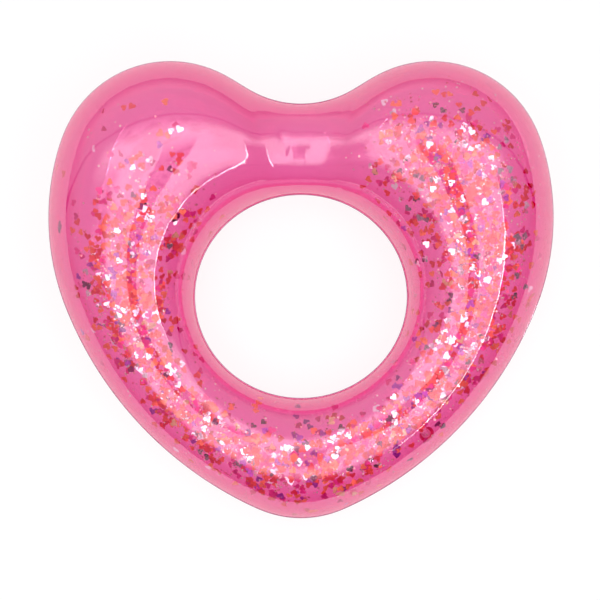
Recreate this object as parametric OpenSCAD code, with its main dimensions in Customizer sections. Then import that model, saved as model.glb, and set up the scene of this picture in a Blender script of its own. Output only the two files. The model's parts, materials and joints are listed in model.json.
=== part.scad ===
// Heart-shaped inflatable swim ring: two clear tinted vinyl sheets welded along the heart outline
// and round the centre hole, a push-in air valve on the underside, and loose foil hearts inside.
// Millimetres. The ring lies flat as it floats: +Z is up through the hole, the heart's point is
// towards -Y, and the origin is under the middle of the ring on the surface that it rests on.

/* [Heart outline] */
// Height of the notch between the lobes, above the hole's centre
notch_y = 345; // [335:1:355]
// Radius of the notch
notch_r = 190; // [170:1:210]
// Sideways place of each lobe's centre
lobe_x = 234; // [226:1:242]
// Radius of each lobe
lobe_r = 207; // [200:1:214]
// Direction, above the horizontal, where the lobe runs into the shoulder
lobe_end = 19.4; // [15:0.1:25]
// Radius of the shoulder below the lobe
shoulder_r = 436; // [420:1:450]
// Direction, above the horizontal, where the shoulder runs into the flank
shoulder_end = -21; // [-24:0.5:-18]
// Radius of the flank that runs down to the point
flank_r = 666; // [640:1:690]
// Place of the heart's point, from the hole's centre
tip_y = -403; // [-410:1:-396]

/* [Centre hole] */
// Width of the hole
hole_w = 382; // [360:1:400]
// Height of the hole
hole_h = 366; // [350:1:380]

/* [Film] */
// Thickness of each vinyl sheet
film_t = 0.3; // [0.25:0.05:0.5]
// Width of the welded seam, outside the tube on both edges
seam_w = 2; // [1.5:0.5:4]
// Half-thickness that a very wide tube would tend to when it is blown up
fullness = 235; // [200:5:300]
// Rise of the seam plane towards the lobes, in mm per mm, as the ring lies on a floor
lie_slope = 0.071; // [0.065:0.001:0.075]
// Depth by which the underside is pressed flat where it rests
press = 1.6; // [1.4:0.1:3]

/* [Valve] */
// Radius of the flange that is welded over the hole in the film
flange_r = 14; // [12:0.5:14.5]
// Thickness of the flange
flange_t = 1.2; // [1:0.1:1.5]
// Outer radius of the sliding stem
stem_r = 6.3; // [6:0.1:6.8]
// Radius of the air bore through the stem
bore_r = 4; // [3.8:0.1:4.2]
// How far the pushed-in stem still stands out of the flange
stem_proud = 2.4; // [2:0.1:3]
// Travel of the stem when it is pulled out to be blown into
stem_travel = 12; // [10:0.5:13]
// Distance from the bore's axis to the bend of the plug's strap
strap_reach = 9.6; // [9.4:0.1:10]

/* [Foil hearts] */
// Foil hearts in each colour's group
hearts_each = 24; // [12:1:28]
// Width of a foil heart
heart_w = 11; // [8:0.5:12]
// Foil specks in their group
specks = 40; // [20:1:60]

/* [Hidden] */

// Rings of points round the heart, and steps from a seam to the crest strip of the tube
rings = 72;
steps = 5;
// Half-angle of the narrow strip along the crest, which becomes the flat where the ring rests
crest_half = 4;
ring_step = 360 / rings;

// Arc centres of the outline's right half, each tangent to the next, from the hole's centre
notch_c = [0, notch_y + notch_r];
lobe_c = [lobe_x, notch_c.y - sqrt(pow(notch_r + lobe_r, 2) - pow(lobe_x, 2))];
shoulder_c = lobe_c - along(lobe_end) * (shoulder_r - lobe_r);
flank_c = shoulder_c - along(shoulder_end) * (flank_r - shoulder_r);
tip_drop = flank_c.y - tip_y;
tip_r = (pow(flank_r, 2) - pow(flank_c.x, 2) - pow(tip_drop, 2)) / (2 * (flank_r - tip_drop));
tip_c = [0, tip_y + tip_r];

// Clock angles, from +Y towards +X, at which one arc gives way to the next
notch_end = clock(notch_c + unit(lobe_c - notch_c) * notch_r);
lobe_stop = clock(lobe_c + along(lobe_end) * lobe_r);
shoulder_stop = clock(shoulder_c + along(shoulder_end) * shoulder_r);
flank_stop = clock(flank_c + unit(tip_c - flank_c) * flank_r);

// Place of the hole's centre, so that the origin is under the middle of the ring's box
outline_ys = [for (i = [0:rings - 1]) outline_r(i * ring_step) * cos(i * ring_step)];
hole_y = -(max(outline_ys) + min(outline_ys)) / 2;

// Height of the seam plane over the origin, so that the pressed underside lies at zero
crest_zs = [for (i = [0:rings - 1])
    let (t = i * ring_step) lie_slope * (mid_r(t) * cos(t) + hole_y) - tube_h(t)];
seam_z0 = -min(crest_zs) - press;

// Angles round half a tube, from the outer seam to the hole's seam
arc_steps = concat([for (k = [0:steps]) k * (90 - crest_half) / steps],
                   [for (k = [0:steps]) 90 + crest_half + k * (90 - crest_half) / steps]);

// The valve sits in the middle of one facet of the underside's outer flank
valve_ring = 27;
valve_step = 2;
valve_corners = [for (i = [0, 1], k = [0, 1])
    skin((valve_ring + i) * ring_step, arc_steps[valve_step + k], -1, 0)];
valve_at = (valve_corners[0] + valve_corners[1] + valve_corners[2] + valve_corners[3]) / 4;
valve_out = unit(cross(valve_corners[2] - valve_corners[1], valve_corners[3] - valve_corners[0]));
valve_side = unit(cross([0, 0, 1], valve_out));
valve_up = cross(valve_out, valve_side);

// Valve sizes that follow from the driving ones, along the valve's own axis from the film
sleeve_r = stem_r + 2;
sleeve_depth = 5;
slide_gap = 0.08;
film_gap = 0.15;
lip_r = stem_r + 1.2;
lip_t = 1.2;
stem_top = flange_t + film_gap + stem_proud;
stop_t = 1.2;
stop_gap = 0.2;
stem_foot = -(sleeve_depth + stem_travel + stop_gap + stop_t);
ring_t = 0.9;
plug_gap = 0.05;
plug_depth = 5;
plug_mouth_r = bore_r - 0.1;
plug_tip_r = bore_r - 1.15;
head_t = 1.5;
strap_w = 4;
strap_t = 0.8;
flap_t = 0.8;
flap_gap = 0.1;
flap_r = bore_r + 1.4;
valve_fn = 64;

// Foil sizes, and how far inside the tube's wall the foil lies, as a share of its half-width
foil_t = 0.1;
heart_points = 14;
foil_share = 0.91;
speck_r = 1.6;
golden = 0.6180339887;
valve_clear = 34;

function along(a) = [cos(a), sin(a)];
function unit(v) = v / norm(v);
function clock(p) = atan2(p.x, p.y);
function frac(v) = v - floor(v);

// Distance from the hole's centre to an arc, along the clock angle t: its far and its near side
function reach(c, t) = c.x * sin(t) + c.y * cos(t);
function far_r(c, r, t) = reach(c, t) + sqrt(r * r - c * c + pow(reach(c, t), 2));
function near_r(c, r, t) = reach(c, t) - sqrt(r * r - c * c + pow(reach(c, t), 2));

// Outer edge of the seam along the heart, at clock angle t
function outline_r(t) =
    t > 180 ? outline_r(360 - t)
    : t < notch_end ? near_r(notch_c, notch_r, t)
    : t < lobe_stop ? far_r(lobe_c, lobe_r, t)
    : t < shoulder_stop ? far_r(shoulder_c, shoulder_r, t)
    : t < flank_stop ? far_r(flank_c, flank_r, t)
    : far_r(tip_c, tip_r, t);

// Edge of the seam round the hole, at clock angle t
function hole_r(t) = 1 / sqrt(pow(2 * sin(t) / hole_w, 2) + pow(2 * cos(t) / hole_h, 2));

// Middle, half-width and half-thickness of the blown-up tube at clock angle t
function mid_r(t) = (outline_r(t) + hole_r(t)) / 2;
function half_w(t) = (outline_r(t) - hole_r(t)) / 2 - seam_w;
function tube_h(t) = half_w(t) / sqrt(1 + pow(half_w(t) / fullness, 2));

// A point at clock angle t and radius r from the hole's centre, up by z from the seam plane
function at(t, r, z) =
    let (y = r * cos(t) + hole_y) [r * sin(t), y, seam_z0 + lie_slope * y + z];

// A point on the tube: a is the angle from the outer seam over the crest to the hole's seam, side
// is 1 above the seam and -1 below it, and depth is how far inside the outer face it lies
function skin(t, a, side, depth) =
    let (p = at(t, mid_r(t) + (half_w(t) - depth) * cos(a), side * (tube_h(t) - depth) * sin(a)))
    [p.x, p.y, max(p.z, side < 0 ? depth : p.z)];

// One section of a sheet: the outer face, the seam on the hole, the inner face and the outer seam
function section(t, side) = concat(
    [at(t, outline_r(t), 0), at(t, outline_r(t), side * film_t)],
    [for (a = arc_steps) a == 0 || a == 180 ? lifted(t, a, side) : skin(t, a, side, 0)],
    [at(t, hole_r(t), side * film_t), at(t, hole_r(t), 0)],
    [for (k = [len(arc_steps) - 1:-1:0]) skin(t, arc_steps[k], side, film_t)]);

// Where the outer face meets the top of the seam
function lifted(t, a, side) =
    at(t, mid_r(t) + half_w(t) * cos(a), side * film_t);

// Triangles that join each section to the next one round the heart
function band_faces(n, side) = [for (i = [0:rings - 1], k = [0:n - 1])
    let (j = (i + 1) % rings, m = (k + 1) % n,
         a = i * n + k, b = i * n + m, c = j * n + m, d = j * n + k)
    each side > 0 ? [[a, b, c], [a, c, d]] : [[a, c, b], [a, d, c]]];

module sheet(side) {
    sections = [for (i = [0:rings - 1]) section(i * ring_step, side)];
    polyhedron(points = [for (s = sections) each s], faces = band_faces(len(sections[0]), side));
}

// Places its children on the valve's own axes: Z out of the film, Y uphill
module on_valve() {
    multmatrix([[valve_side.x, valve_up.x, valve_out.x, valve_at.x],
                [valve_side.y, valve_up.y, valve_out.y, valve_at.y],
                [valve_side.z, valve_up.z, valve_out.z, valve_at.z]])
    children();
}

module top_panel() {
    color("hotpink", 0.5)
    sheet(1);
}

module bottom_panel() {
    color("deeppink", 0.5)
    difference() {
        sheet(-1);
        on_valve()
        translate([0, 0, -sleeve_depth])
        cylinder(r = sleeve_r + film_gap, h = 2 * sleeve_depth, $fn = valve_fn);
    }
}

// Flange over the hole in the film, with the sleeve that guides the stem
module valve_base() {
    color("pink")
    on_valve() {
        inner = stem_r + slide_gap;
        bottom = film_gap;
        rotate_extrude($fn = valve_fn)
        polygon([[inner, -sleeve_depth], [sleeve_r, -sleeve_depth], [sleeve_r, bottom],
                 [flange_r, bottom], [flange_r, bottom + flange_t / 2],
                 [flange_r - 1, bottom + flange_t], [inner, bottom + flange_t]]);
    }
}

// Stem with its stop collar inside the ring and its lip outside
module valve_stem() {
    color("lightpink")
    on_valve()
    rotate_extrude($fn = valve_fn)
    polygon([[bore_r, stem_foot], [lip_r, stem_foot], [lip_r, stem_foot + stop_t],
             [stem_r, stem_foot + stop_t], [stem_r, stem_top - lip_t],
             [lip_r, stem_top - lip_t], [lip_r, stem_top], [bore_r, stem_top]]);
}

// Ring of the plug's strap, which grips the stem under its lip, with a tab out to the bend
module strap_ring() {
    color("lightpink")
    on_valve() {
        ring_top = stem_top - lip_t - plug_gap;
        difference() {
            union() {
                translate([0, 0, ring_top - ring_t])
                cylinder(r = lip_r + 0.6, h = ring_t, $fn = valve_fn);
                translate([-strap_reach, -strap_w / 2, ring_top - ring_t])
                cube([strap_reach, strap_w, ring_t]);
            }
            translate([0, 0, ring_top - 2 * ring_t])
            cylinder(r = stem_r + plug_gap, h = 3 * ring_t, $fn = valve_fn);
        }
    }
}

// Tapered stopper with a flat head and a thumb tab
module valve_plug() {
    color("lightpink")
    on_valve() {
        seat = stem_top + plug_gap;
        rotate_extrude($fn = valve_fn)
        polygon([[0, seat - plug_depth], [plug_tip_r, seat - plug_depth],
                 [plug_mouth_r, seat - plug_gap], [plug_mouth_r, seat], [lip_r, seat],
                 [lip_r, seat + head_t * 0.6], [lip_r - 0.8, seat + head_t], [0, seat + head_t]]);
        translate([lip_r - 0.6, -strap_w / 2, seat])
        cube([strap_w, strap_w, strap_t]);
    }
}

// Short strap from the plug's head to the bend
module plug_strap() {
    color("lightpink")
    on_valve()
    translate([-strap_reach - strap_t / 2, -strap_w / 2, stem_top + plug_gap])
    cube([strap_reach + strap_t / 2 - lip_r, strap_w, strap_t]);
}

// Flap that lets air in and closes the stem's inner end when the breath stops
module check_flap() {
    color("mistyrose")
    on_valve()
    translate([0, 0, stem_foot - flap_gap - flap_t]) {
        cylinder(r = flap_r, h = flap_t, $fn = valve_fn);
        translate([-lip_r, -strap_w / 2, 0])
        cube([lip_r, strap_w, flap_t]);
    }
}

// Outline of a foil heart, one unit wide
function heart_outline() = [for (i = [0:heart_points - 1])
    let (u = 360 * i / heart_points)
    [16 * pow(sin(u), 3), 13 * cos(u) - 5 * cos(2 * u) - 2 * cos(3 * u) - cos(4 * u)] / 32];

// Where foil piece n of group g lies: thickest along the flanks and the point, none at the notch
function foil_place(n, g) =
    let (u = frac(n * golden + g * 0.137), v = frac(n * golden * golden + g * 0.271),
         t = 40 + 280 * u, side = (n + g) % 2 == 0 ? 1 : -1, a = 35 + 110 * v)
    at(t, mid_r(t) + foil_share * half_w(t) * cos(a), side * foil_share * tube_h(t) * sin(a));

// Places its children as one group of loose foil, clear of the valve
module foil_group(count, g) {
    for (n = [1:count]) {
        place = foil_place(n, g);
        if (norm(place - valve_at) > valve_clear)
            translate(place)
            rotate([60 * sin(137 * n + 40 * g), 60 * cos(101 * n), 360 * frac(n * golden)])
            children();
    }
}

module hearts(colour, g) {
    color(colour)
    foil_group(hearts_each, g)
    linear_extrude(height = foil_t)
    polygon(heart_outline() * heart_w);
}

module foil_specks() {
    color("white")
    foil_group(specks, 9.5)
    cylinder(r = speck_r, h = foil_t, $fn = 6);
}

module hearts_red() { hearts("crimson", 1); }
module hearts_coral() { hearts("tomato", 2); }
module hearts_magenta() { hearts("mediumvioletred", 3); }
module hearts_violet() { hearts("darkorchid", 4); }
module hearts_silver() { hearts("silver", 5); }
module hearts_gold() { hearts("goldenrod", 6); }
module hearts_plum() { hearts("indigo", 7); }

top_panel();
bottom_panel();
valve_base();
valve_stem();
strap_ring();
valve_plug();
plug_strap();
check_flap();
hearts_red();
hearts_coral();
hearts_magenta();
hearts_violet();
hearts_silver();
hearts_gold();
hearts_plum();
foil_specks();
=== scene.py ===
"""Looks of a heart-shaped inflatable swim ring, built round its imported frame.

The ring lies flat on a pale floor: +Z is up through the hole and the heart's point is towards -Y.
Lengths are metres and angles degrees, unless a name says otherwise. A clock angle starts at +Y and
grows towards +X, and a section angle runs from the outer seam, over the crest, to the hole's seam.
"""

from __future__ import annotations

import json
import logging
import math
from dataclasses import astuple, dataclass, field
from enum import Enum

import bpy
import numpy as np
from mathutils import Matrix, Vector


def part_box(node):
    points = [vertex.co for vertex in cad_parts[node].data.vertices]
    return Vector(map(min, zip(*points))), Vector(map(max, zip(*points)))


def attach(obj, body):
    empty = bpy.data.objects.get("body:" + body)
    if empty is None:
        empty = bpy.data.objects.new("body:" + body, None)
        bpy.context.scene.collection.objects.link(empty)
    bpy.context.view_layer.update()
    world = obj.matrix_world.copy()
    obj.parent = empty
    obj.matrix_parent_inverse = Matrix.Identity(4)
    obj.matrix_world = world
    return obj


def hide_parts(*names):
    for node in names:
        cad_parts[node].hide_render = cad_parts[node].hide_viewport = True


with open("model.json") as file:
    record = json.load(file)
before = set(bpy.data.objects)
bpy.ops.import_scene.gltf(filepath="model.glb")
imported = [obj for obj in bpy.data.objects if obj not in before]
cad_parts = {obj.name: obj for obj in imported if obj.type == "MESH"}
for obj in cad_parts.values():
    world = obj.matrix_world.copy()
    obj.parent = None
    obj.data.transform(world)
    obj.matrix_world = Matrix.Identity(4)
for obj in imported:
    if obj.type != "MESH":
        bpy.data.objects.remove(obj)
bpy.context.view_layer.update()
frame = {"nodes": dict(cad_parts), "record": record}

LOG = logging.getLogger("swim_ring")
Colour = tuple[float, float, float]


class Sheet(Enum):
    """The two sheets of film that the ring is welded from."""

    UPPER = 1
    LOWER = -1


# ---------------------------------------------------------------------------------------------
# Shader maths and finishes
# ---------------------------------------------------------------------------------------------


class Value:
    """A number socket, on which Python's own maths adds Math nodes."""

    def __init__(self, recipe: "Recipe", socket: bpy.types.NodeSocket) -> None:
        """Wraps a socket.

        Args:
            recipe: The material that the socket belongs to.
            socket: An output that holds one number.
        """
        self.recipe = recipe
        self.socket = socket

    def _maths(self, operation: str, *terms: "Value | float") -> "Value":
        """Adds a Math node.

        Args:
            operation: The node's operation.
            terms: Its inputs in order.

        Returns:
            The node's result.
        """
        node = self.recipe.node("ShaderNodeMath", {"operation": operation},
                                dict(enumerate(terms)))
        return Value(self.recipe, node.outputs[0])

    def __add__(self, other: "Value | float") -> "Value":
        """Returns self + other."""
        return self._maths("ADD", self, other)

    def __mul__(self, other: "Value | float") -> "Value":
        """Returns self * other."""
        return self._maths("MULTIPLY", self, other)

    def __sub__(self, other: "Value | float") -> "Value":
        """Returns self - other."""
        return self._maths("SUBTRACT", self, other)

    def __rsub__(self, other: "Value | float") -> "Value":
        """Returns other - self."""
        return self._maths("SUBTRACT", other, self)

    def __pow__(self, power: "Value | float") -> "Value":
        """Returns self ** power."""
        return self._maths("POWER", self, power)

    __radd__ = __add__
    __rmul__ = __mul__


class Recipe:
    """A material and the nodes that make it."""

    def __init__(self, name: str) -> None:
        """Starts an empty material.

        Args:
            name: The material's name.
        """
        self.material = bpy.data.materials.new(name)
        self.material.use_nodes = True
        self.tree = self.material.node_tree
        self.tree.nodes.clear()

    @classmethod
    def on_tree(cls, tree: bpy.types.NodeTree) -> "Recipe":
        """Starts afresh on the nodes of a lamp or of the surroundings."""
        recipe = cls.__new__(cls)
        recipe.tree = tree
        tree.nodes.clear()
        return recipe

    def node(self, kind: str, settings: dict[str, object] | None = None,
             inputs: dict[str | int, object] | None = None) -> bpy.types.Node:
        """Adds a node, sets it up and fills its inputs.

        Args:
            kind: The node's type.
            settings: Its own settings, such as an operation, which are set first.
            inputs: A value, a socket or a Value for each named or numbered input.

        Returns:
            The new node.
        """
        node = self.tree.nodes.new(kind)
        for name, value in (settings or {}).items():
            setattr(node, name, value)
        for name, value in (inputs or {}).items():
            if isinstance(value, Value):
                value = value.socket
            if isinstance(value, bpy.types.NodeSocket):
                self.tree.links.new(value, node.inputs[name])
            else:
                node.inputs[name].default_value = value
        return node

    def value(self, node: bpy.types.Node, output: str | int = 0) -> Value:
        """Returns a node's output as a Value."""
        return Value(self, node.outputs[output])

    def number(self, value: float) -> bpy.types.NodeSocket:
        """Returns a fixed number's socket."""
        node = self.tree.nodes.new("ShaderNodeValue")
        node.outputs[0].default_value = value
        return node.outputs[0]

    def eased(self, value: Value, start: float, stop: float) -> Value:
        """Eases a value from 0 to 1.

        Args:
            value: The value.
            start: Where the result is 0.
            stop: Where the result is 1.

        Returns:
            The eased value.
        """
        node = self.node("ShaderNodeMapRange", {"interpolation_type": "SMOOTHSTEP"},
                         {"Value": value, "From Min": start, "From Max": stop})
        return self.value(node)

    def object_point(self) -> bpy.types.NodeSocket:
        """Returns the Object coordinates."""
        return self.node("ShaderNodeTexCoord").outputs["Object"]

    def noise(self, scale: float, detail: float = 2.0,
              stretch: tuple[float, float, float] = (1.0, 1.0, 1.0)) -> Value:
        """Adds a noise on the Object coordinates.

        Args:
            scale: Waves to the metre.
            detail: How many finer layers it has.
            stretch: How much finer the waves are along each axis.

        Returns:
            The noise, about 0 to 1.
        """
        place = self.node("ShaderNodeVectorMath", {"operation": "MULTIPLY"},
                          {0: self.object_point(), 1: stretch})
        node = self.node("ShaderNodeTexNoise", None,
                         {"Vector": place.outputs[0], "Scale": scale, "Detail": detail})
        return self.value(node, "Fac")

    def object_axes(self) -> tuple[Value, Value, Value]:
        """Returns the Object coordinates as three values."""
        split = self.node("ShaderNodeSeparateXYZ", None, {0: self.object_point()})
        return self.value(split, 0), self.value(split, 1), self.value(split, 2)

    def mixed(self, factor: Value, first: Colour, second: Colour) -> bpy.types.NodeSocket:
        """Mixes two colours.

        Args:
            factor: 0 for the first colour and 1 for the second.
            first: The first colour.
            second: The second colour.

        Returns:
            The mixed colour.
        """
        node = self.node("ShaderNodeMix", {"data_type": "RGBA"},
                         {0: factor, 6: (*first, 1.0), 7: (*second, 1.0)})
        return node.outputs[2]

    def blended(self, factor: Value | float, first: bpy.types.Node,
                second: bpy.types.Node) -> bpy.types.Node:
        """Mixes two shaders.

        Args:
            factor: 0 for the first shader and 1 for the second.
            first: The first shader's node.
            second: The second shader's node.

        Returns:
            The Mix Shader node.
        """
        return self.node("ShaderNodeMixShader", None,
                         {0: factor, 1: first.outputs[0], 2: second.outputs[0]})

    def bump(self, height: Value, distance: float, strength: float = 1.0) -> bpy.types.NodeSocket:
        """Turns a height into a normal.

        Args:
            height: The height, about 0 to 1.
            distance: How deep a step of 1 is, in metres.
            strength: How much of it shows.

        Returns:
            The bumped normal.
        """
        node = self.node("ShaderNodeBump", None,
                         {"Height": height, "Distance": distance, "Strength": strength})
        return node.outputs["Normal"]

    def finish(self, surface: bpy.types.Node) -> bpy.types.Material:
        """Joins a shader to the output and returns the material."""
        self.node("ShaderNodeOutputMaterial", None, {"Surface": surface.outputs[0]})
        return self.material


@dataclass(frozen=True)
class TintedFilm:
    """Clear soft vinyl film, whose two faces each pass, tint and mirror light.

    The film is drawn into fine streaks in front of the notch, where the tube is narrowest.
    """

    name: str
    through: Colour
    grazing: Colour
    haze_colour: Colour = (0.88, 0.18, 0.44)
    weld_colour: Colour = (0.34, 0.10, 0.19)
    haze: float = 0.035
    weld_haze: float = 0.75
    mirror_head_on: float = 0.04
    mirror_at_rim: float = 0.25
    mirror_power: float = 1.8
    slant_power: float = 1.45
    gloss_roughness: float = 0.05
    ripple_scale: float = 26.0
    ripple_depth: float = 0.0004
    streak_scale: float = 9.0
    streak_stretch: tuple[float, float, float] = (1.0, 11.0, 11.0)
    streak_share: float = 0.7
    streaks_along: tuple[float, float] = (0.10, 0.17)
    streaks_across: tuple[float, float] = (0.003, 0.016)

    def material(self) -> bpy.types.Material:
        """Builds the film's material."""
        recipe = Recipe(self.name)
        ripple = recipe.noise(self.ripple_scale, 1.0)
        x, y, _ = recipe.object_axes()
        drawn = (recipe.eased(y, *self.streaks_along)
                 * (1 - recipe.eased(x * x, *self.streaks_across)))
        streaks = recipe.noise(self.streak_scale, 2.0, self.streak_stretch)
        normal = recipe.bump(ripple + self.streak_share * drawn * streaks, self.ripple_depth)
        facing = recipe.value(recipe.node("ShaderNodeLayerWeight", None, {"Blend": 0.5}), "Facing")
        mirror = self.mirror_head_on + self.mirror_at_rim * facing ** self.mirror_power
        slanted = (1 - (1 - facing) ** 2) ** self.slant_power
        clear = recipe.node("ShaderNodeBsdfTransparent", None, {"Color": (*self.through, 1)})
        slant = recipe.node("ShaderNodeBsdfTransparent", None, {"Color": (*self.grazing, 1)})
        weld = recipe.value(recipe.node("ShaderNodeAttribute", {"attribute_name": "weld"}), "Fac")
        milk = recipe.node("ShaderNodeBsdfPrincipled", None,
                           {"Base Color": recipe.mixed(weld, self.haze_colour, self.weld_colour),
                            "Roughness": 0.5})
        gloss = recipe.node("ShaderNodeBsdfGlossy", None,
                            {"Color": (1, 1, 1, 1), "Roughness": self.gloss_roughness,
                             "Normal": normal})
        tint = recipe.blended(slanted, clear, slant)
        body = recipe.blended(self.haze + (self.weld_haze - self.haze) * weld, tint, milk)
        return recipe.finish(recipe.blended(mirror, body, gloss))


CLEAR_PINK = TintedFilm("clear_pink_vinyl", (0.990, 0.88, 0.94), (0.985, 0.82, 0.90))
DEEP_PINK = TintedFilm("deep_pink_vinyl", (0.958, 0.455, 0.70), (0.935, 0.24, 0.51))


@dataclass(frozen=True)
class MouldedVinyl:
    """Soft moulded vinyl of the valve, slightly milky, with a faint mould grain."""

    name: str = "moulded_vinyl"
    colour: Colour = (0.93, 0.42, 0.62)
    deep: Colour = (0.86, 0.27, 0.50)
    roughness: float = 0.32
    roughness_spread: float = 0.12
    grain_scale: float = 900.0
    grain_depth: float = 0.00006
    cloud_scale: float = 60.0
    milkiness: float = 0.35

    def material(self) -> bpy.types.Material:
        """Builds the moulding's material."""
        recipe = Recipe(self.name)
        cloud = recipe.noise(self.cloud_scale, 3.0)
        grain = recipe.noise(self.grain_scale, 2.0)
        shader = recipe.node("ShaderNodeBsdfPrincipled", None,
                             {"Base Color": recipe.mixed(cloud, self.colour, self.deep),
                              "Roughness": self.roughness + self.roughness_spread * (grain - 0.5),
                              "Normal": recipe.bump(grain, self.grain_depth, 0.6),
                              "Subsurface Weight": self.milkiness, "Subsurface Scale": 0.002,
                              "Subsurface Radius": (1.0, 0.4, 0.5)})
        return recipe.finish(shader)


@dataclass(frozen=True)
class Foil:
    """Shiny metallised film, whose tone differs a little from flake to flake."""

    name: str
    light: Colour
    dark: Colour
    roughness: float = 0.24
    metallic: float = 0.5
    roughness_spread: float = 0.16
    crinkle_scale: float = 260.0
    crinkle_depth: float = 0.0002

    def material(self) -> bpy.types.Material:
        """Builds the foil's material."""
        recipe = Recipe(self.name)
        tone = recipe.value(recipe.node("ShaderNodeAttribute", {"attribute_name": "tone"}), "Fac")
        crinkle = recipe.noise(self.crinkle_scale, 2.0)
        shader = recipe.node("ShaderNodeBsdfPrincipled", None,
                             {"Base Color": recipe.mixed(tone, self.light, self.dark),
                              "Metallic": self.metallic,
                              "Roughness": self.roughness + self.roughness_spread * (crinkle - 0.5),
                              "Normal": recipe.bump(crinkle, self.crinkle_depth, 0.5)})
        return recipe.finish(shader)


@dataclass(frozen=True)
class PaleFloor:
    """Matt white floor that is lit evenly, as a studio sweep is."""

    name: str = "pale_floor"
    colour: Colour = (0.16, 0.16, 0.16)
    glow: float = 0.84

    def material(self) -> bpy.types.Material:
        """Builds the floor's material."""
        recipe = Recipe(self.name)
        shader = recipe.node("ShaderNodeBsdfPrincipled", None,
                             {"Base Color": (*self.colour, 1), "Roughness": 0.9,
                              "Specular IOR Level": 0.1,
                              "Emission Color": (1, 1, 1, 1), "Emission Strength": self.glow})
        return recipe.finish(shader)


# ---------------------------------------------------------------------------------------------
# Bench work: small helpers round Blender's own operators
# ---------------------------------------------------------------------------------------------


class Bench:
    """Works on one object at a time, as by hand."""

    @staticmethod
    def clear() -> None:
        """Deselects everything."""
        bpy.ops.object.select_all(action="DESELECT")

    @classmethod
    def take(cls, *pieces: bpy.types.Object) -> None:
        """Selects pieces and makes the first one active.

        Args:
            pieces: The pieces, the active one first.
        """
        cls.clear()
        for piece in pieces:
            piece.select_set(True)
        bpy.context.view_layer.objects.active = pieces[0]

    @staticmethod
    def named(name: str) -> bpy.types.Object:
        """Names the active object and its mesh, and returns it."""
        piece = bpy.context.active_object
        piece.name = name
        piece.data.name = name
        return piece

    @classmethod
    def joined(cls, pieces: list[bpy.types.Object], name: str) -> bpy.types.Object:
        """Joins pieces into one named object and returns it."""
        cls.take(*pieces)
        bpy.ops.object.join()
        return cls.named(name)

    @staticmethod
    def points(piece: bpy.types.Object) -> np.ndarray:
        """Returns a mesh's points as rows of x, y, z."""
        flat = np.empty(len(piece.data.vertices) * 3)
        piece.data.vertices.foreach_get("co", flat)
        return flat.reshape(-1, 3)

    @staticmethod
    def place_points(piece: bpy.types.Object, points: np.ndarray) -> None:
        """Moves a mesh's points.

        Args:
            piece: The object.
            points: A row of x, y, z for each point.
        """
        piece.data.vertices.foreach_set("co", points.ravel())
        piece.data.update()

    @classmethod
    def modify(cls, piece: bpy.types.Object, kind: str, **settings: object) -> None:
        """Adds a modifier and applies it.

        Args:
            piece: The object.
            kind: The modifier's type.
            settings: Its settings.
        """
        cls.take(piece)
        bpy.ops.object.modifier_add(type=kind)
        modifier = piece.modifiers[-1]
        for name, value in settings.items():
            setattr(modifier, name, value)
        bpy.ops.object.modifier_apply(modifier=modifier.name)

    @classmethod
    def smooth(cls, piece: bpy.types.Object, angle: float = 35.0) -> None:
        """Shades a piece smooth, apart from edges sharper than an angle."""
        cls.take(piece)
        bpy.ops.object.shade_smooth_by_angle(angle=math.radians(angle))

    @classmethod
    def dress(cls, piece: bpy.types.Object, material: bpy.types.Material, body: str,
              slot: str, *nodes: str) -> None:
        """Gives a piece its material and its body, and hides the frame's nodes that it replaces.

        Args:
            piece: The object.
            material: Its material.
            body: The body that it rides on.
            slot: The record's material slot; not used.
            nodes: The frame's nodes that it replaces.
        """
        piece.data.materials.clear()
        piece.data.materials.append(material)
        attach(piece, body)
        if nodes:
            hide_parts(*nodes)


# ---------------------------------------------------------------------------------------------
# The blown-up tube
# ---------------------------------------------------------------------------------------------


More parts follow.
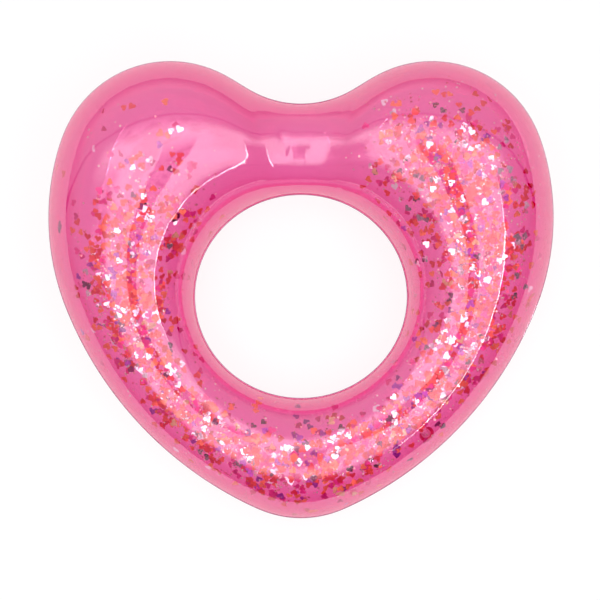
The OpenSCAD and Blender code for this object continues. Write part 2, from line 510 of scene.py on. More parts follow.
@dataclass(frozen=True)
class HeartOutline:
    """The heart as a chain of tangent arcs, and its hole as an ellipse, from the hole's centre."""

    notch_y: float = 0.345
    notch_r: float = 0.190
    lobe_x: float = 0.234
    lobe_r: float = 0.207
    lobe_end: float = 19.4
    shoulder_r: float = 0.436
    shoulder_end: float = -21.0
    flank_r: float = 0.666
    tip_y: float = -0.403
    hole_w: float = 0.382
    hole_h: float = 0.366

    def arcs(self) -> list[tuple[np.ndarray, float, float]]:
        """Works out the right half's arcs.

        Returns:
            Each arc's centre, its radius, negative where it is hollow, and the clock angle where
            it ends.
        """
        notch = np.array([0.0, self.notch_y + self.notch_r])
        rise = math.sqrt((self.notch_r + self.lobe_r) ** 2 - self.lobe_x ** 2)
        lobe = np.array([self.lobe_x, notch[1] - rise])
        first, second = self._direction(self.lobe_end), self._direction(self.shoulder_end)
        shoulder = lobe - first * (self.shoulder_r - self.lobe_r)
        flank = shoulder - second * (self.flank_r - self.shoulder_r)
        drop = flank[1] - self.tip_y
        tip_r = ((self.flank_r ** 2 - flank[0] ** 2 - drop ** 2) / (2 * (self.flank_r - drop)))
        tip = np.array([0.0, self.tip_y + tip_r])
        to_lobe = (lobe - notch) / np.linalg.norm(lobe - notch)
        to_tip = (tip - flank) / np.linalg.norm(tip - flank)
        return [(notch, -self.notch_r, self._clock(notch + to_lobe * self.notch_r)),
                (lobe, self.lobe_r, self._clock(lobe + first * self.lobe_r)),
                (shoulder, self.shoulder_r, self._clock(shoulder + second * self.shoulder_r)),
                (flank, self.flank_r, self._clock(flank + to_tip * self.flank_r)),
                (tip, tip_r, 180.0)]

    @staticmethod
    def _direction(angle: float) -> np.ndarray:
        """Returns the unit vector at an angle above the horizontal."""
        return np.array([math.cos(math.radians(angle)), math.sin(math.radians(angle))])

    @staticmethod
    def _clock(point: np.ndarray) -> float:
        """Returns a point's clock angle."""
        return math.degrees(math.atan2(point[0], point[1]))

    def edge(self, clock: np.ndarray) -> np.ndarray:
        """Finds the outer edge of the seam.

        Args:
            clock: Clock angles from 0 to 360.

        Returns:
            The distance from the hole's centre at each angle.
        """
        folded = np.where(clock > 180, 360 - clock, clock)
        radians = np.radians(folded)
        radius = np.zeros_like(folded)
        start = -1.0
        for centre, size, stop in self.arcs():
            reach = centre[0] * np.sin(radians) + centre[1] * np.cos(radians)
            root = np.sqrt(np.maximum(size ** 2 - centre @ centre + reach ** 2, 0))
            found = reach + math.copysign(1, size) * root
            inside = (folded > start) & (folded <= stop)
            radius[inside] = found[inside]
            start = stop
        return radius

    def hole(self, clock: np.ndarray) -> np.ndarray:
        """Finds the edge of the hole.

        Args:
            clock: Clock angles.

        Returns:
            The distance from the hole's centre at each angle.
        """
        radians = np.radians(clock)
        return 1 / np.hypot(2 * np.sin(radians) / self.hole_w, 2 * np.cos(radians) / self.hole_h)


@dataclass
class BlownTube:
    """The tube's surface: the heart's outline, blown up round its seam plane."""

    outline: HeartOutline = field(default_factory=HeartOutline)
    film_t: float = 0.0003
    seam_w: float = 0.002
    fullness: float = 0.235
    blend_width: float = 2.0
    table_step: float = 0.25

    def __post_init__(self) -> None:
        """Reads the ring's place from the frame and tabulates its edges."""
        upper_low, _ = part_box("top_panel")
        _, lower_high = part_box("bottom_panel")
        self.slope = (lower_high.z - upper_low.z) / (lower_high.y - upper_low.y)
        self.seam_z = upper_low.z - self.slope * upper_low.y
        self.hole_y = upper_low.y - self.outline.tip_y
        self._angles = np.arange(0, 360, self.table_step)
        self._edge = self._softened(self.outline.edge(self._angles))
        self._hole = self.outline.hole(self._angles)

    def _softened(self, radius: np.ndarray) -> np.ndarray:
        """Blends the arcs where they meet, so that reflections run on smoothly.

        Args:
            radius: A radius at each tabulated clock angle.

        Returns:
            The radii, each a weighted mean of its neighbours.
        """
        offsets = np.arange(-4 * self.blend_width, 4 * self.blend_width + 1e-9, self.table_step)
        weights = np.exp(-0.5 * (offsets / self.blend_width) ** 2)
        steps = np.round(offsets / self.table_step).astype(int)
        summed = sum(w * np.roll(radius, s) for w, s in zip(weights, steps))
        return summed / weights.sum()

    def edge(self, clock: np.ndarray) -> np.ndarray:
        """Returns the seam's outer radius at clock angles."""
        return np.interp(clock, self._angles, self._edge, period=360)

    def hole(self, clock: np.ndarray) -> np.ndarray:
        """Returns the hole's radius at clock angles."""
        return np.interp(clock, self._angles, self._hole, period=360)

    def middle(self, clock: np.ndarray) -> np.ndarray:
        """Returns the radius of the tube's middle."""
        return (self.edge(clock) + self.hole(clock)) / 2

    def half_width(self, clock: np.ndarray) -> np.ndarray:
        """Returns half the tube's width."""
        return (self.edge(clock) - self.hole(clock)) / 2 - self.seam_w

    def crest(self, clock: np.ndarray) -> np.ndarray:
        """Returns half the tube's thickness."""
        half = self.half_width(clock)
        return half / np.sqrt(1 + (half / self.fullness) ** 2)

    def at(self, clock: np.ndarray, radius: np.ndarray, rise: np.ndarray) -> np.ndarray:
        """Places points by clock angle.

        Args:
            clock: Clock angles.
            radius: Distances from the hole's centre.
            rise: Heights over the seam plane.

        Returns:
            A row of x, y, z for each point.
        """
        radians = np.radians(clock)
        x = radius * np.sin(radians)
        y = radius * np.cos(radians) + self.hole_y
        return np.stack([x, y, self.seam_z + self.slope * y + rise], axis=-1)

    def skin(self, clock: np.ndarray, section: np.ndarray, sheet: np.ndarray,
             depth: np.ndarray | float = 0.0) -> np.ndarray:
        """Places points on the film, or inside it.

        Args:
            clock: Clock angles.
            section: Section angles from 0 at the outer seam to 180 at the hole's seam.
            sheet: 1 on the upper sheet and -1 on the lower one.
            depth: How far inside the film's outer face.

        Returns:
            A row of x, y, z for each point, none under the floor.
        """
        radians = np.radians(section)
        radius = self.middle(clock) + (self.half_width(clock) - depth) * np.cos(radians)
        rise = np.maximum((self.crest(clock) - depth) * np.sin(radians), self.film_t)
        points = self.at(clock, radius, sheet * rise)
        points[..., 2] = np.maximum(points[..., 2], depth)
        return points


@dataclass(frozen=True)
class Crease:
    """A shallow fold in the film that runs across the tube."""

    clock: float
    lean: float
    start: float
    stop: float
    width: float
    depth: float

    def dip(self, clock: np.ndarray, section: np.ndarray) -> np.ndarray:
        """Finds how deep the fold is.

        Args:
            clock: Clock angles.
            section: Section angles.

        Returns:
            The dip at each point, in metres.
        """
        middle = self.clock + self.lean * (section - self.start) / (self.stop - self.start)
        away = (clock - middle + 180) % 360 - 180
        share = np.clip((section - self.start) / (self.stop - self.start), 0, 1)
        return self.depth * np.exp(-0.5 * (away / self.width) ** 2) * np.sin(np.pi * share) ** 1.5


# ---------------------------------------------------------------------------------------------
# The two sheets of film
# ---------------------------------------------------------------------------------------------


@dataclass
class ValvePlace:
    """Where the valve stands in the lower sheet, from the frame's own mount and joints."""

    stem_top: float = 0.00375

    def __post_init__(self) -> None:
        """Reads the valve's axes from the record."""
        record = frame["record"]
        mouth = next(m for m in record["mounts"] if m["name"] == "valve_mouth")
        swing = next(j for j in record["behaviour"]["joints"] if j["name"] == "flap_swing")
        self.out = Vector(mouth["axis"]).normalized()
        self.up = Vector(swing["axis"]).normalized()
        self.across = self.up.cross(self.out).normalized()
        self.centre = Vector(mouth["pos_m"]) - self.out * self.stem_top

    def matrix(self) -> Matrix:
        """Returns the turn and move from the valve's own axes to the ring's."""
        turn = Matrix((self.across, self.up, self.out)).transposed().to_4x4()
        return Matrix.Translation(self.centre) @ turn

    def span(self, node: str) -> tuple[Vector, Vector]:
        """Measures a frame node along the valve's own axes.

        Args:
            node: The node's name.

        Returns:
            Its lowest and highest corners.
        """
        axes = np.array([self.across, self.up, self.out])
        local = (Bench.points(frame["nodes"][node]) - np.array(self.centre)) @ axes.T
        return Vector(local.min(axis=0)), Vector(local.max(axis=0))


@dataclass
class FilmSheets:
    """The welded upper and lower sheets, each with its seams and its true thickness."""

    tube: BlownTube
    valve: ValvePlace
    round_steps: int = 256
    section_steps: int = 36
    seat_flat: float = 0.016
    seat_fade: float = 0.034
    hole_r: float = 0.00845
    pucker_depth: float = 0.0005
    pucker_reach: float = 16.0
    pucker_counts: tuple[int, int, int] = (61, 97, 143)
    creases: tuple[Crease, ...] = (
        Crease(-4.6, -2.6, 62.0, 112.0, 0.50, 0.0016),
        Crease(-7.6, 1.5, 66.0, 96.0, 0.60, 0.0012),
        Crease(3.0, 1.2, 58.0, 100.0, 0.55, 0.0010),
        Crease(-13.0, -2.0, 40.0, 84.0, 0.70, 0.0005),
        Crease(14.0, 2.0, 44.0, 90.0, 0.75, 0.0005),
        Crease(167.5, -4.0, 58.0, 88.0, 0.55, 0.0012),
        Crease(169.5, 2.5, 44.0, 74.0, 0.50, 0.0011),
        Crease(183.0, 2.0, 40.0, 76.0, 0.60, 0.0008),
    )

    def build(self) -> dict[Sheet, bpy.types.Object]:
        """Builds both sheets.

        Returns:
            The finished sheets.
        """
        whole = self._blown_ring()
        sheets = self._parted(whole)
        for sheet, piece in sheets.items():
            self._draw_out_seams(piece, sheet)
        self._flatten_seat(sheets[Sheet.LOWER])
        for sheet, piece in sheets.items():
            Bench.modify(piece, "SOLIDIFY", thickness=self.tube.film_t, offset=-1.0)
            if sheet is Sheet.LOWER:
                self._cut_seat_hole(piece)
            self._mark_welds(piece)
            Bench.smooth(piece, 50.0)
            film, node = ((CLEAR_PINK, "top_panel") if sheet is Sheet.UPPER
                          else (DEEP_PINK, "bottom_panel"))
            Bench.dress(piece, film.material(), "ring", "tinted_vinyl", node)
            LOG.info("%s: %d faces", piece.name, len(piece.data.polygons))
        return sheets

    def _blown_ring(self) -> bpy.types.Object:
        """Makes a torus and draws its points out to the blown-up heart.

        Returns:
            The closed ring.
        """
        Bench.clear()
        bpy.ops.mesh.primitive_torus_add(major_segments=self.round_steps,
                                         minor_segments=self.section_steps,
                                         major_radius=1.0, minor_radius=0.25)
        ring = Bench.named("film_upper")
        bpy.ops.object.mode_set(mode="EDIT")
        bpy.ops.mesh.subdivide(number_cuts=1)
        bpy.ops.object.mode_set(mode="OBJECT")
        x, y, z = Bench.points(ring).T
        clock = np.degrees(np.arctan2(x, y)) % 360
        section = np.degrees(np.arctan2(z, np.hypot(x, y) - 1.0))
        sheet = np.where(section < -1e-3, -1.0, 1.0)
        section = np.abs(section)
        dip = self._dip(clock, section, sheet)
        Bench.place_points(ring, self.tube.skin(clock, section, sheet, dip))
        return ring

    def _dip(self, clock: np.ndarray, section: np.ndarray, sheet: np.ndarray) -> np.ndarray:
        """Finds how far folds and the seams' puckers draw the film in.

        Args:
            clock: Clock angles.
            section: Section angles.
            sheet: 1 on the upper sheet and -1 on the lower one.

        Returns:
            The dip at each point, in metres.
        """
        radians = np.radians(clock)
        coarse, middling, fine = self.pucker_counts
        waves = (np.sin(coarse * radians + 1.3)
                 + 0.8 * np.sin(middling * radians + 0.4 * np.sin(5 * radians))
                 + 0.6 * np.sin(fine * radians + 2.1 * sheet)) / 2.4
        swell = 0.55 + 0.45 * np.sin(3 * radians + 0.8) * np.sin(7 * radians)
        near_edge = np.exp(-(section / self.pucker_reach)) * (section > 0.5)
        near_hole = np.exp(-((180 - section) / self.pucker_reach)) * (section < 179.5)
        dip = self.pucker_depth * swell * (1 + waves) / 2 * (near_edge + 0.5 * near_hole)
        for crease in self.creases:
            dip = dip + crease.dip(clock, section)
        return dip

    def _parted(self, ring: bpy.types.Object) -> dict[Sheet, bpy.types.Object]:
        """Cuts the ring along its two seams.

        Args:
            ring: The closed ring.

        Returns:
            The two sheets.
        """
        Bench.take(ring)
        bpy.ops.object.mode_set(mode="EDIT")
        bpy.ops.mesh.select_mode(type="FACE")
        bpy.ops.mesh.select_all(action="DESELECT")
        bpy.ops.object.mode_set(mode="OBJECT")
        for face in ring.data.polygons:
            centre = face.center
            level = self.tube.seam_z + self.tube.slope * centre.y
            face.select = centre.z < level
        bpy.ops.object.mode_set(mode="EDIT")
        bpy.ops.mesh.separate(type="SELECTED")
        bpy.ops.object.mode_set(mode="OBJECT")
        lower = next(o for o in bpy.context.selected_objects if o is not ring)
        lower.name = lower.data.name = "film_lower"
        return {Sheet.UPPER: ring, Sheet.LOWER: lower}

    def _draw_out_seams(self, piece: bpy.types.Object, sheet: Sheet) -> None:
        """Extrudes a sheet's open edges into the flat seams.

        Args:
            piece: The sheet.
            sheet: Which sheet it is.
        """
        Bench.take(piece)
        bpy.ops.object.mode_set(mode="EDIT")
        bpy.ops.mesh.select_mode(type="EDGE")
        bpy.ops.mesh.select_all(action="DESELECT")
        bpy.ops.mesh.select_non_manifold()
        bpy.ops.mesh.extrude_edges_indiv()
        bpy.ops.object.mode_set(mode="OBJECT")
        drawn = np.zeros(len(piece.data.vertices), dtype=bool)
        piece.data.vertices.foreach_get("select", drawn)
        points = Bench.points(piece)
        x, y = points[drawn, 0], points[drawn, 1] - self.tube.hole_y
        clock = np.degrees(np.arctan2(x, y)) % 360
        outer = np.hypot(x, y) > self.tube.middle(clock)
        radius = np.where(outer, self.tube.edge(clock), self.tube.hole(clock))
        rise = np.full_like(radius, sheet.value * self.tube.film_t)
        points[drawn] = self.tube.at(clock, radius, rise)
        Bench.place_points(piece, points)

    def _mark_welds(self, piece: bpy.types.Object) -> None:
        """Marks the welded seams, where the film is denser.

        Args:
            piece: A sheet with its thickness.
        """
        x, y, _ = Bench.points(piece).T
        y = y - self.tube.hole_y
        clock = np.degrees(np.arctan2(x, y)) % 360
        away = np.abs(np.hypot(x, y) - self.tube.middle(clock)) - self.tube.half_width(clock)
        weld = piece.data.attributes.new("weld", "FLOAT", "POINT")
        weld.data.foreach_set("value", np.clip(away / (0.5 * self.tube.seam_w), 0, 1))

    def _flatten_seat(self, piece: bpy.types.Object) -> None:
        """Presses the lower sheet flat under the valve's flange.

        Args:
            piece: The lower sheet.
        """
        points = Bench.points(piece)
        local = (points - np.array(self.valve.centre)) @ np.array(
            [self.valve.across, self.valve.up, self.valve.out]).T
        away = np.hypot(local[:, 0], local[:, 1])
        share = np.clip((self.seat_fade - away) / (self.seat_fade - self.seat_flat), 0, 1)
        share = share * share * (3 - 2 * share) * (np.abs(local[:, 2]) < self.seat_fade)
        shift = -local[:, 2] * share
        Bench.place_points(piece, points + shift[:, None] * np.array(self.valve.out))

    def _cut_seat_hole(self, piece: bpy.types.Object) -> None:
        """Cuts the hole that the valve goes through.

        Args:
            piece: The lower sheet, with its thickness.
        """
        Bench.clear()
        bpy.ops.mesh.primitive_cylinder_add(vertices=64, radius=self.hole_r, depth=0.012)
        cutter = bpy.context.active_object
        cutter.matrix_world = self.valve.matrix()
        Bench.modify(piece, "BOOLEAN", operation="DIFFERENCE", object=cutter, solver="EXACT")
        bpy.data.objects.remove(cutter)


# ---------------------------------------------------------------------------------------------
# Loose foil
# ---------------------------------------------------------------------------------------------


class FoilColour(Enum):
    """The foil's colours: a light and a dark tone, the share of the hearts, and the sheen."""

    RED = ((0.90, 0.09, 0.06), (0.72, 0.02, 0.05), 0.34, 0.32)
    CORAL = ((0.97, 0.26, 0.10), (0.92, 0.13, 0.07), 0.20, 0.32)
    MAGENTA = ((0.88, 0.04, 0.30), (0.66, 0.015, 0.20), 0.23, 0.32)
    VIOLET = ((0.52, 0.07, 0.50), (0.34, 0.03, 0.34), 0.06, 0.28)
    SILVER = ((0.99, 0.99, 0.95), (0.99, 0.80, 0.86), 0.135, 0.10)
    GOLD = ((0.90, 0.58, 0.30), (0.70, 0.42, 0.22), 0.02, 0.24)
    PLUM = ((0.30, 0.02, 0.13), (0.12, 0.01, 0.06), 0.015, 0.28)

    def finish(self) -> Foil:
        """Returns the colour's finish."""
        light, dark, _, roughness = self.value
        metallic = 0.90 if self is FoilColour.SILVER else 0.32
        return Foil(f"foil_{self.name.lower()}", light, dark, roughness, metallic)

    def share(self) -> float:
        """Returns the colour's share of the hearts."""
        return self.value[2]


@dataclass(frozen=True)
class Flake:
    """One flat shape of foil as a thin closed solid, one metre wide and one thick."""

    points: np.ndarray
    faces: np.ndarray

    @staticmethod
    def _solid(ring: np.ndarray) -> "Flake":
        """Builds a thin solid from an outline.

        Args:
            ring: The outline's points, counter-clockwise.

        Returns:
            The solid, each face a triangle.
        """
        n = len(ring)
        centre = ring.mean(axis=0)
        flat = np.vstack([ring, centre])
        top = np.column_stack([flat, np.full(n + 1, 0.5)])
        bottom = np.column_stack([flat, np.full(n + 1, -0.5)])
        here, after = np.arange(n), (np.arange(n) + 1) % n
        middle = np.full(n, n)
        low = n + 1
        faces = np.vstack([
            np.column_stack([here, after, middle]),
            np.column_stack([after + low, here + low, middle + low]),
            np.column_stack([here + low, after + low, after]),
            np.column_stack([here + low, after, here])])
        return Flake(np.vstack([top, bottom]), faces)

    @classmethod
    def heart(cls, corners: int = 14) -> "Flake":
        """Builds a heart.

        Args:
            corners: How many points its outline has.

        Returns:
            The heart.
        """
        turn = np.linspace(0, 2 * math.pi, corners, endpoint=False)
        x = 16 * np.sin(turn) ** 3
        y = (13 * np.cos(turn) - 5 * np.cos(2 * turn) - 2 * np.cos(3 * turn) - np.cos(4 * turn))
        ring = np.column_stack([x, y + 2.5])[::-1] / 32
        return cls._solid(ring)

    @classmethod
    def speck(cls) -> "Flake":
        """Builds a six-sided speck."""
        turn = np.linspace(0, 2 * math.pi, 6, endpoint=False)
        return cls._solid(np.column_stack([np.cos(turn), np.sin(turn)]) / 2)


@dataclass(frozen=True)
class Drift:
    """How the foil lies on one side of the ring, by clock angles from the notch.

    The middle is a share of the tube's width from the outer seam. It moves by the shift towards
    the notch.
    """

    starts: float
    fade: float
    middle: float
    shift: float
    width: float


@dataclass
class LooseFoil:
    """All the foil inside the ring, spread as it clings to the two sheets."""

    tube: BlownTube
    valve: ValvePlace
    hearts: int = 2500
    specks: int = 4200
    heart_w: tuple[float, float] = (0.0122, 0.0152)
    speck_w: tuple[float, float] = (0.0018, 0.0045)
    foil_t: float = 0.00012
    upper_share: float = 0.62
    valve_clear: float = 0.030
    clump: int = 2
    clump_spread: tuple[float, float] = (1.2, 0.04)
    edge_share: float = 0.03
    left: Drift = Drift(28.0, 55.0, 0.40, 0.24, 0.17)
    right: Drift = Drift(14.0, 38.0, 0.42, 0.07, 0.19)
    flat_share: float = 0.75
    flat_lean: float = 6.5
    loose_lean: float = 28.0
    most_lean: float = 1.2
    clearance: float = 0.0012
    looseness: tuple[float, float] = (0.0012, 0.0035)
    curl: float = 0.13
    seed: int = 20

    def build(self) -> list[bpy.types.Object]:
        """Builds one piece for each colour and one for the specks.

        Returns:
            The pieces.
        """
        dice = np.random.default_rng(self.seed)
        heart = Flake.heart()
        pieces = []
        for colour in FoilColour:
            count = round(self.hearts * colour.share())
            name = colour.name.lower()
            piece = self._scattered(f"foil_hearts_{name}", heart, count, self.heart_w, dice)
            Bench.dress(piece, colour.finish().material(), "ring", f"foil_{name}", f"hearts_{name}")
            pieces.append(piece)
            LOG.info("%s: %d hearts", piece.name, count)
        specks = self._scattered("foil_speck_dust", Flake.speck(), self.specks, self.speck_w, dice)
        glint = Foil("foil_speck", (1.0, 0.90, 0.74), (0.92, 0.06, 0.16), 0.2)
        Bench.dress(specks, glint.material(), "ring", "foil_speck", "foil_specks")
        LOG.info("%s: %d specks", specks.name, self.specks)
        return [*pieces, specks]

    def _crowd(self, clock: np.ndarray, across: np.ndarray) -> np.ndarray:
        """Finds how crowded the foil is at places round the ring.

        Args:
            clock: Clock angles.
            across: 0 at the outer seam and 1 at the hole's seam.

        Returns:
            A density from 0 to 1.
        """
        turn = (clock + 180) % 360 - 180
        from_top = np.abs(turn)
        sides = [np.array(astuple(side))[:, None] for side in (self.left, self.right)]
        starts, fade, middle, shift, width = np.where(turn < 0, *sides)
        ends = np.clip((from_top - starts) / fade, 0, 1)
        ends = ends * ends * (3 - 2 * ends)
        near_notch = np.clip((110 - from_top) / 60, 0, 1)
        away = across - (middle + shift * near_notch)
        band = np.exp(-0.5 * (away / width) ** 2)
        clumps = 0.78 + 0.22 * np.sin(np.radians(9 * clock + 40)) * np.sin(
            np.radians(5 * clock) + 9 * across)
        return ends * (0.96 * band + 0.03) * clumps

    def _scattered(self, name: str, flake: Flake, count: int, widths: tuple[float, float],
                   dice: np.random.Generator) -> bpy.types.Object:
        """Scatters copies of a flake over the inside of the film.

        Args:
            name: The piece's name.
            flake: The shape.
            count: How many copies.
            widths: The least and the most width.
            dice: The seeded source of chance.

        Returns:
            One object with all the copies.
        """
        clock, section, sheet = self._chosen_places(count, dice)
        width = dice.uniform(*widths, count)
        lean = self._leans(count, dice)
        loose = dice.exponential(np.where(sheet > 0, *self.looseness), count)
        depth = 0.5 * width * np.abs(np.sin(lean)) + self.clearance + loose
        centre, ahead, side, normal = self._lie(clock, section, sheet, depth)
        spin = dice.uniform(0, 2 * math.pi, count)[:, None]
        along = np.cos(spin) * ahead + np.sin(spin) * side
        beside = np.cross(normal, along)
        tilt = lean[:, None]
        upright = np.cos(tilt) * normal + np.sin(tilt) * along
        along = np.cos(tilt) * along - np.sin(tilt) * normal
        curl = dice.normal(0, self.curl, count)
        across, length, thick = flake.points.T
        bend = width[:, None] * curl[:, None] * across[None, :] ** 2
        points = (centre[:, None, :]
                  + (width[:, None] * across)[..., None] * beside[:, None, :]
                  + (width[:, None] * length)[..., None] * along[:, None, :]
                  + (self.foil_t * thick + bend)[..., None] * upright[:, None, :])
        faces = flake.faces[None] + (np.arange(count) * len(flake.points))[:, None, None]
        mesh = bpy.data.meshes.new(name)
        mesh.from_pydata(points.reshape(-1, 3), [], faces.reshape(-1, 3))
        tone = mesh.attributes.new("tone", "FLOAT", "FACE")
        tone.data.foreach_set("value", np.repeat(dice.random(count), len(flake.faces)))
        piece = bpy.data.objects.new(name, mesh)
        bpy.context.collection.objects.link(piece)
        return piece

    def _leans(self, count: int, dice: np.random.Generator) -> np.ndarray:
        """Draws how far flakes lean off the film, most of them little, in radians."""
        flat = dice.random(count) < self.flat_share
        lean = np.radians(np.where(flat, dice.normal(0, self.flat_lean, count),
                                   dice.normal(0, self.loose_lean, count)))
        return np.clip(lean, -self.most_lean, self.most_lean)

    def _lie(self, clock: np.ndarray, section: np.ndarray, sheet: np.ndarray,
             depth: np.ndarray) -> tuple[np.ndarray, np.ndarray, np.ndarray, np.ndarray]:
        """Finds how the film lies at places.

        Args:
            clock: Clock angles.
            section: Section angles.
            sheet: 1 on the upper sheet and -1 on the lower one.
            depth: How far inside the film each place is.

        Returns:
            Each place, and the directions round the ring, across it and off the film.
        """
        centre = self.tube.skin(clock, section, sheet, depth)
        ahead = self.tube.skin(clock + 0.5, section, sheet, depth) - centre
        over = self.tube.skin(clock, section + 1.0, sheet, depth) - centre
        ahead /= np.linalg.norm(ahead, axis=1)[:, None]
        normal = np.cross(ahead, over)
        normal /= np.linalg.norm(normal, axis=1)[:, None]
        return centre, ahead, np.cross(normal, ahead), normal

    def _chosen_places(self, count: int, dice: np.random.Generator
                       ) -> tuple[np.ndarray, np.ndarray, np.ndarray]:
        """Draws places by the foil's density.

        Args:
            count: How many places.
            dice: The seeded source of chance.

        Returns:
            Each place's clock angle, section angle and sheet.
        """
        clumps = count * 6
        tries = clumps * self.clump
        clock = np.repeat(dice.uniform(0, 360, clumps), self.clump)
        low, high = self.edge_share, 1 - self.edge_share
        across = np.repeat(dice.uniform(low, high, clumps), self.clump)
        clock = (clock + dice.normal(0, self.clump_spread[0], tries)) % 360
        across = np.clip(across + dice.normal(0, self.clump_spread[1], tries), low, high)
        room = self.tube.half_width(clock) * self.tube.middle(clock)
        luck = np.repeat(dice.random(clumps), self.clump)
        keep = luck < self._crowd(clock, across) * room / room.max()
        section = np.degrees(np.arccos(1 - 2 * across))
        upper = np.repeat(dice.random(clumps), self.clump) < self.upper_share
        sheet = np.where(upper, 1.0, -1.0)
        near = np.linalg.norm(self.tube.skin(clock, section, sheet)
                              - np.array(self.valve.centre), axis=1)
        keep &= near > self.valve_clear
        chosen = np.flatnonzero(keep)
        chosen = dice.permutation(chosen[:round(count * 1.25)])[:count]
        if len(chosen) < count:
            raise ValueError(f"only {len(chosen)} of {count} places were found")
        return clock[chosen], section[chosen], sheet[chosen]


# ---------------------------------------------------------------------------------------------
# The valve
# ---------------------------------------------------------------------------------------------


@dataclass
class AirValve:
    """The valve: the frame's own mouldings, with the beads, ribs and grips moulded on them."""

    place: ValvePlace
    bead_r: float = 0.00045
    bead_level: float = 0.0004
    ring_r: float = 0.00028
    ring_places: tuple[float, ...] = (0.0121, 0.0108)
    grip_teeth: int = 30
    grip_depth: float = 0.00045
    grip_wall: float = 0.0005
    rib: tuple[float, float, float] = (0.0006, 0.0034, 0.0005)
    strap_ribs: int = 4
    tab_gaps: tuple[float, ...] = (0.0007, 0.0018, 0.0029)
    nodes: tuple[str, ...] = ("valve_base", "valve_stem", "strap_ring", "valve_plug",
                              "plug_strap", "check_flap")

    def build(self) -> list[bpy.types.Object]:
        """Dresses the mouldings and builds what is moulded on them.

        Returns:
            The new pieces.
        """
        vinyl = MouldedVinyl().material()
        for name in self.nodes:
            node = frame["nodes"][name]
            for index in range(len(node.material_slots)):
                node.material_slots[index].material = vinyl
            LOG.info("%s: dressed", name)
        pieces = {"ring": [self._weld_bead(), self._flange_rings()],
                  "plug": [self._grip(), self._strap_ribs(), self._tab_ribs()]}
        for body, group in pieces.items():
            for piece in group:
                Bench.take(piece)
                piece.matrix_world = self.place.matrix()
                bpy.ops.object.transform_apply(location=True, rotation=True, scale=True)
                Bench.smooth(piece)
                Bench.dress(piece, vinyl, body, "valve_vinyl")
                LOG.info("%s: %d faces", piece.name, len(piece.data.polygons))
        return [piece for group in pieces.values() for piece in group]

    @staticmethod
    def _ring(radius: float, thick: float, level: float) -> bpy.types.Object:
        """Makes a moulded ring whose outer side is softly flattened.

        Args:
            radius: Its middle radius.
            thick: Its section's radius.
            level: Its middle along the valve's axis.

        Returns:
            The ring in the valve's own axes.
        """
        Bench.clear()
        bpy.ops.mesh.primitive_torus_add(major_segments=72, minor_segments=12,
                                         major_radius=radius, minor_radius=thick)
        ring = bpy.context.active_object
        points = Bench.points(ring)
        points[:, 2] = np.where(points[:, 2] > 0, 0.75, 0.4) * points[:, 2] + level
        Bench.place_points(ring, points)
        return ring

    def _weld_bead(self) -> bpy.types.Object:
        """Returns the bead squeezed out where the flange is welded to the film."""
        _, high = self.place.span("valve_base")
        self._ring(high.x + 0.3 * self.bead_r, self.bead_r, self.bead_level)
        return Bench.named("valve_weld_bead")

    def _flange_rings(self) -> bpy.types.Object:
        """Returns the raised rings on the flange's face."""
        _, high = self.place.span("valve_base")
        rings = [self._ring(radius, self.ring_r, high.z) for radius in self.ring_places]
        return Bench.joined(rings, "valve_flange_rings")

    def _grip(self) -> bpy.types.Object:
        """Returns the toothed rim that a thumb grips on the stopper's head."""
        _, stem_high = self.place.span("valve_stem")
        _, high = self.place.span("valve_plug")
        radius = stem_high.x
        Bench.clear()
        bpy.ops.mesh.primitive_circle_add(vertices=4 * self.grip_teeth, radius=radius,
                                          location=(0, 0, 0))
        grip = Bench.named("plug_grip")
        bpy.ops.object.mode_set(mode="EDIT")
        bpy.ops.mesh.select_all(action="SELECT")
        bpy.ops.mesh.extrude_edges_indiv()
        bpy.ops.transform.translate(value=(0, 0, 0.5 * (high.z - stem_high.z)))
        bpy.ops.mesh.select_all(action="SELECT")
        bpy.ops.mesh.normals_make_consistent(inside=False)
        bpy.ops.object.mode_set(mode="OBJECT")
        points = Bench.points(grip)
        turn = np.arctan2(points[:, 1], points[:, 0])
        tooth = 0.5 + 0.5 * np.cos(self.grip_teeth * turn)
        points[:, :2] *= (1 + self.grip_depth * tooth / radius)[:, None]
        points[:, 2] += stem_high.z + 0.15 * (high.z - stem_high.z)
        Bench.place_points(grip, points)
        Bench.modify(grip, "SOLIDIFY", thickness=self.grip_wall, offset=-1.0)
        Bench.modify(grip, "BEVEL", width=0.0001, segments=2, limit_method="ANGLE",
                     angle_limit=math.radians(50))
        return grip

    def _rib(self, x: float, level: float) -> bpy.types.Object:
        """Makes one rounded rib that runs across the strap.

        Args:
            x: Its place along the strap.
            level: The height of the face that it stands on.

        Returns:
            The rib in the valve's own axes.
        """
        wide, long, tall = self.rib
        Bench.clear()
        bpy.ops.mesh.primitive_cube_add(size=1.0, location=(x, 0, level + 0.1 * tall))
        rib = bpy.context.active_object
        rib.scale = (wide, long, tall)
        bpy.ops.object.transform_apply(location=True, rotation=True, scale=True)
        Bench.modify(rib, "BEVEL", width=0.00018, segments=3, limit_method="NONE")
        return rib

    def _strap_ribs(self) -> bpy.types.Object:
        """Returns the ribs across the strap."""
        low, high = self.place.span("plug_strap")
        places = np.linspace(low.x + 0.0016, high.x - 0.0012, self.strap_ribs)
        return Bench.joined([self._rib(x, high.z) for x in places], "strap_ribs")

    def _tab_ribs(self) -> bpy.types.Object:
        """Returns the ribs on the stopper's thumb tab, which is as thick as the strap."""
        _, high = self.place.span("valve_plug")
        _, strap = self.place.span("plug_strap")
        ribs = [self._rib(high.x - gap, strap.z) for gap in self.tab_gaps]
        return Bench.joined(ribs, "tab_ribs")


# ---------------------------------------------------------------------------------------------
# Studio
# ---------------------------------------------------------------------------------------------


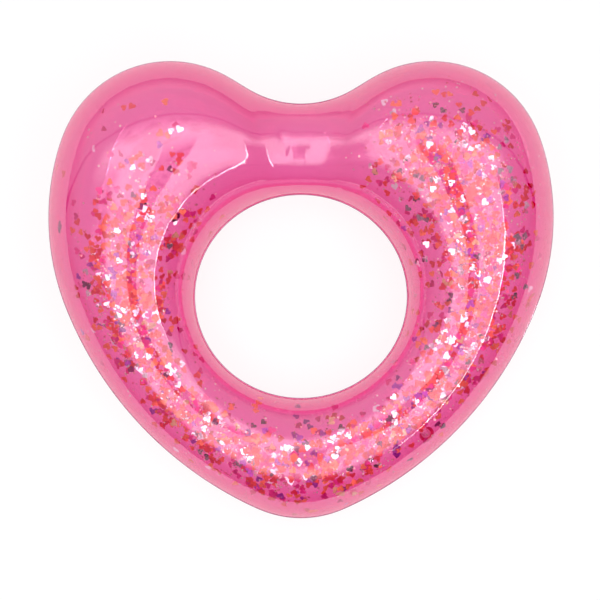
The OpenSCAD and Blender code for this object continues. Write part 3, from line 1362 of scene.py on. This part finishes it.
@dataclass
class Softbox:
    """A rectangular lamp that hangs over the ring and shines straight down.

    Sides and brightness are those of its face, and each side fades over its own width. Where two
    overlap, one is lifted a little so that both are mirrored.
    """

    name: str
    left: float
    right: float
    front: float
    back: float
    brightness: float
    fade: tuple[float, float, float, float] = (0.0, 0.0, 0.0, 0.0)
    lift: float = 0.0

    def build(self, height: float) -> bpy.types.Object:
        """Adds the lamp.

        Args:
            height: How high it hangs.

        Returns:
            The lamp.
        """
        Bench.clear()
        wide, deep = self.right - self.left, self.back - self.front
        middle = ((self.left + self.right) / 2, (self.front + self.back) / 2)
        place = (*middle, height + self.lift)
        bpy.ops.object.light_add(type="AREA", location=place)
        lamp = Bench.named(self.name)
        lamp.data.shape = "RECTANGLE"
        lamp.data.size, lamp.data.size_y = wide, deep
        lamp.data.energy = math.pi * wide * deep
        lamp.data.use_nodes = True
        recipe = Recipe.on_tree(lamp.data.node_tree)
        place_on_face = recipe.node("ShaderNodeNewGeometry").outputs["Parametric"]
        split = recipe.node("ShaderNodeSeparateXYZ", None, {0: place_on_face})
        across, along = recipe.value(split, 0), recipe.value(split, 1)
        edges = [(across, self.fade[0] / wide), (1 - across, self.fade[1] / wide),
                 (along, self.fade[2] / deep), (1 - along, self.fade[3] / deep)]
        strength = Value(recipe, recipe.number(self.brightness))
        for distance, share in edges:
            if share > 0:
                strength = strength * recipe.eased(distance, 0.0, share)
        glow = recipe.node("ShaderNodeEmission", None, {"Strength": strength})
        recipe.node("ShaderNodeOutputLight", None, {"Surface": glow.outputs[0]})
        return lamp


@dataclass
class Surroundings:
    """The room that the ring mirrors: paler behind the notch and darker in front of the point."""

    middle: float = 0.54
    towards_back: float = 0.72
    towards_right: float = -0.25
    belt_share: float = 0.35
    belt_rise: float = 0.35
    join_angle: float = 29.0
    join_width: float = 0.045
    join_depth: float = 0.8
    brightness: float = 0.8

    def build(self) -> None:
        """Builds the world."""
        world = bpy.data.worlds.new("studio")
        world.use_nodes = True
        bpy.context.scene.world = world
        recipe = Recipe.on_tree(world.node_tree)
        direction = recipe.node("ShaderNodeTexCoord").outputs["Generated"]
        split = recipe.node("ShaderNodeSeparateXYZ", None, {0: direction})
        x, y, z = (recipe.value(split, axis) for axis in range(3))
        pale = self.middle + self.towards_back * y + self.towards_right * x
        lean = y - math.tan(math.radians(self.join_angle)) * z
        join = recipe.eased(lean, -self.join_width, 0.0) * (
            1 - recipe.eased(lean, 0.0, self.join_width))
        belt = self.belt_share + (1 - self.belt_share) * recipe.eased(z, 0.0, self.belt_rise)
        room = pale * belt - self.join_depth * join
        seen = recipe.value(recipe.node("ShaderNodeLightPath"), "Is Camera Ray")
        strength = seen + (1 - seen) * self.brightness * room
        background = recipe.node("ShaderNodeBackground", None,
                                 {"Color": (1, 1, 1, 1), "Strength": strength})
        recipe.node("ShaderNodeOutputWorld", None, {"Surface": background.outputs[0]})


@dataclass
class Studio:
    """Pale floor, pale surroundings, softboxes and the camera."""

    tube: BlownTube
    lens: float = 100.0
    distance: float = 3.005
    middle_at: tuple[float, float] = (0.0018, 0.0147)
    floor_half: float = 30.0
    lamp_height: float = 2.15
    lamps: tuple[Softbox, ...] = (
        Softbox("back_softbox", -3.30, 3.30, -0.20, 1.15, 2.4, (1.9, 1.4, 0.7, 0.70), 0.02),
        Softbox("left_softbox", -1.55, -0.16, -2.4, 0.50, 2.5, (0.55, 0.04, 0.9, 0.70)),
        Softbox("right_softbox", 0.34, 1.84, -2.4, 0.50, 2.5, (0.04, 0.0, 0.9, 0.70)),
        Softbox("front_softbox", -0.16, 0.34, -2.4, -0.80, 2.5, (0.0, 0.0, 0.9, 0.60), 0.01),
        Softbox("right_strip", 1.84, 1.90, -2.9, 0.25, 20.0, (0.0, 0.0, 0.6, 1.1), 0.01),
    )

    def build(self) -> None:
        """Builds the studio."""
        self._camera()
        self._floor()
        Surroundings().build()
        for lamp in self.lamps:
            lamp.build(self.lamp_height)
        view = bpy.context.scene.view_settings
        view.view_transform = "Standard"
        view.look = "None"
        bpy.context.scene.cycles.transparent_max_bounces = 32

    def _camera(self) -> None:
        """Adds the camera, straight above the ring."""
        Bench.clear()
        x, y = self.middle_at
        bpy.ops.object.camera_add(location=(-x, -y, self.tube.seam_z + self.distance),
                                  rotation=(0.0, 0.0, 0.0))
        camera = Bench.named("camera")
        camera.data.lens = self.lens
        camera.data.clip_end = 200.0
        bpy.context.scene.camera = camera

    def _floor(self) -> None:
        """Adds the floor."""
        Bench.clear()
        bpy.ops.mesh.primitive_grid_add(x_subdivisions=8, y_subdivisions=8,
                                        size=2 * self.floor_half, location=(0, 0, -0.0004))
        floor = Bench.named("floor")
        floor.data.materials.append(PaleFloor().material())


def main() -> None:
    """Builds the scene in order."""
    logging.basicConfig(level=logging.INFO, format="%(name)s: %(message)s")
    tube = BlownTube()
    valve = ValvePlace()
    Studio(tube).build()
    FilmSheets(tube, valve).build()
    LooseFoil(tube, valve).build()
    AirValve(valve).build()


if __name__ == "__main__":
    main()
